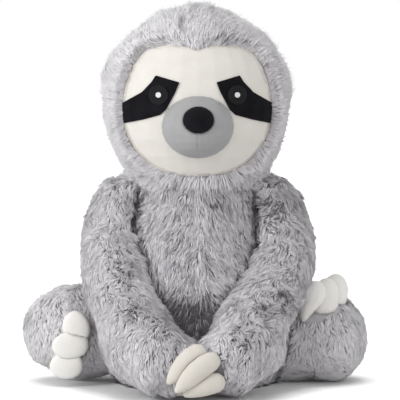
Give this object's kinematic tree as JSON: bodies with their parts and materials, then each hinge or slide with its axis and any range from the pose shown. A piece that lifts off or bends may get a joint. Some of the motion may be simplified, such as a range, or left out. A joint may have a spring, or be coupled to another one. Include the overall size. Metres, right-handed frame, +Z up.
{
  "type": "plush sloth",
  "caption": "Seated plush sloth with a round hooded head, a flat cream face, long furry arms resting in front, splayed legs and stuffed claws.",
  "frame": {"origin": "centre of the flat seat, on the floor that the toy sits on", "axes": "+Z up, the face looks towards -Y, and the nodes named left are on the -X side, which is the left side of the picture"},
  "size_m": [0.3137, 0.2264, 0.339],
  "materials": {
    "fur": "long soft pile, matte, light grey with darker roots",
    "face_cloth": "short brushed pile, matte, cream",
    "muzzle_cloth": "short brushed pile, matte, mid grey",
    "black_velvet": "short velvet pile, matte, black",
    "eye_thread": "satin stitch embroidery, charcoal",
    "white_thread": "satin stitch embroidery, white",
    "claw_cloth": "short brushed pile, matte, off-white"
  },
  "bodies": {
    "body": {"body": "fur"},
    "head": {"head": "fur", "face_panel": "face_cloth", "muzzle": "muzzle_cloth", "nose": "black_velvet", "eye_patch_left": "black_velvet", "eye_patch_right": "black_velvet", "eye_left": "eye_thread", "eye_right": "eye_thread", "eye_glint_left": "white_thread", "eye_glint_right": "white_thread"},
    "arm_left": {"arm_left": "fur", "hand_claw_left_1": "claw_cloth", "hand_claw_left_2": "claw_cloth", "hand_claw_left_3": "claw_cloth"},
    "leg_left": {"leg_left": "fur", "foot_claw_left_1": "claw_cloth", "foot_claw_left_2": "claw_cloth", "foot_claw_left_3": "claw_cloth"},
    "arm_right": {"arm_right": "fur", "hand_claw_right_1": "claw_cloth", "hand_claw_right_2": "claw_cloth", "hand_claw_right_3": "claw_cloth"},
    "leg_right": {"leg_right": "fur", "foot_claw_right_1": "claw_cloth", "foot_claw_right_2": "claw_cloth", "foot_claw_right_3": "claw_cloth"}
  },
  "joints": [
    {"name": "head_turn", "type": "hinge", "parent": "body", "child": "head", "pos_m": [0, 0, 0.177], "axis": [0, 0, 1], "range_deg": [-20, 20]},
    {"name": "arm_left_spread", "type": "hinge", "parent": "body", "child": "arm_left", "pos_m": [-0.062, 0, 0.178], "axis": [-0.2588, 0.9659, 0], "range_deg": [0, 45]},
    {"name": "arm_right_spread", "type": "hinge", "parent": "body", "child": "arm_right", "pos_m": [0.062, 0, 0.178], "axis": [-0.2588, -0.9659, 0], "range_deg": [0, 45]},
    {"name": "leg_left_swing", "type": "hinge", "parent": "body", "child": "leg_left", "pos_m": [-0.072, 0.04, 0.04], "axis": [0, 0, -1], "range_deg": [0, 25]},
    {"name": "leg_right_swing", "type": "hinge", "parent": "body", "child": "leg_right", "pos_m": [0.072, 0.04, 0.04], "axis": [0, 0, 1], "range_deg": [0, 25]}
  ]
}
